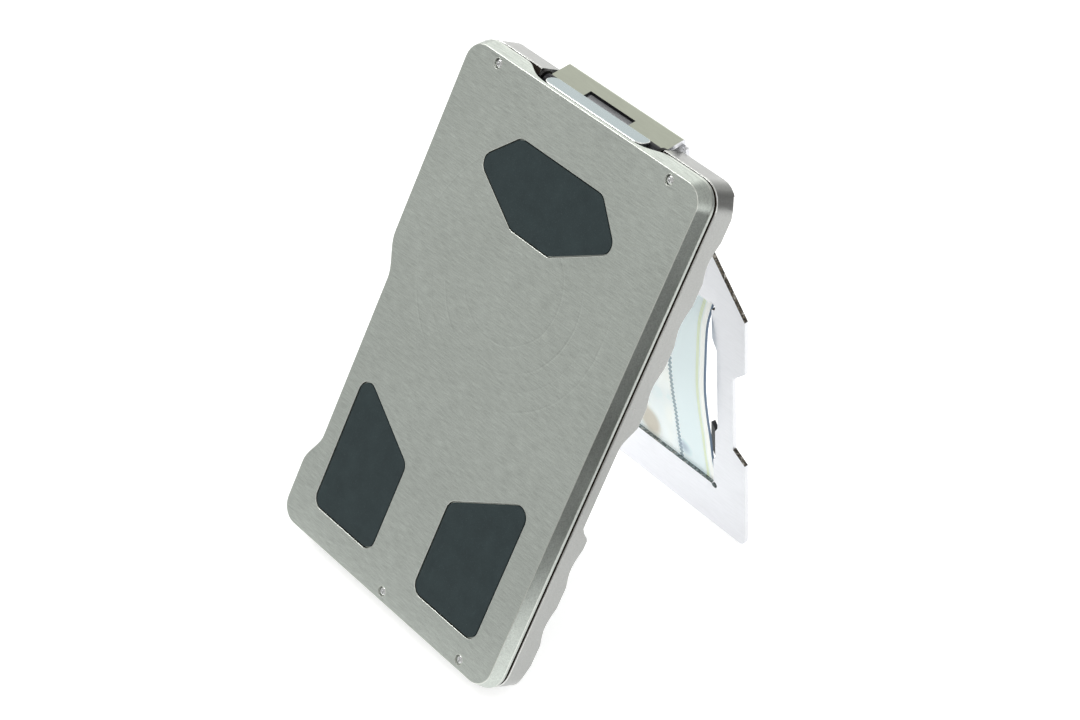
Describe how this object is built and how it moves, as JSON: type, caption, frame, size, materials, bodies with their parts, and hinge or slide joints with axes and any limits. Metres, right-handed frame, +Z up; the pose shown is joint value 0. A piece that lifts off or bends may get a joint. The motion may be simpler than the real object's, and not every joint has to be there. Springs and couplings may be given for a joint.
{
  "type": "card wallet",
  "caption": "Slim two-part metal card wallet that leans back on a hinged sheet frame; the frame opens as a stand and clips a folded banknote.",
  "frame": {"origin": "centre of the bounding box's bottom, on the surface the open wallet stands on", "axes": "+X to the right across the wallet's width as seen from its front, +Y back from the face towards the open stand frame, +Z up"},
  "size_m": [0.06, 0.0634, 0.0892],
  "materials": {
    "plate_metal": "fine brushed, bead-dulled grey",
    "body_metal": "machined satin",
    "frame_steel": "pale satin sheet",
    "keeper_metal": "bright satin, slightly blue",
    "bright_steel": "polished",
    "spring_steel": "satin",
    "pad_rubber": "matte, fine grain",
    "note_paper": "crisp printed paper"
  },
  "bodies": {
    "wallet": {"front_plate": "plate_metal", "back_body": "body_metal", "grip_pad_top": "pad_rubber", "grip_pad_left": "pad_rubber", "grip_pad_right": "pad_rubber", "case_screw_1": "bright_steel", "thread_insert_1": "spring_steel", "case_screw_2": "bright_steel", "thread_insert_2": "spring_steel", "case_screw_3": "bright_steel", "thread_insert_3": "spring_steel", "case_screw_4": "bright_steel", "thread_insert_4": "spring_steel", "card_spring": "spring_steel", "spring_rivet_1": "bright_steel", "spring_rivet_2": "bright_steel", "hinge_keeper": "keeper_metal", "hinge_pin": "bright_steel", "friction_washer_left": "spring_steel", "friction_washer_right": "spring_steel"},
    "stand": {"stand_frame": "frame_steel", "folded_note": "note_paper"}
  },
  "joints": [
    {"name": "stand_swing", "type": "hinge", "parent": "wallet", "child": "stand", "pos_m": [0, 0.01971, 0.08626], "axis": [1, 0, 0], "range_deg": [-33.4, 0]}
  ]
}
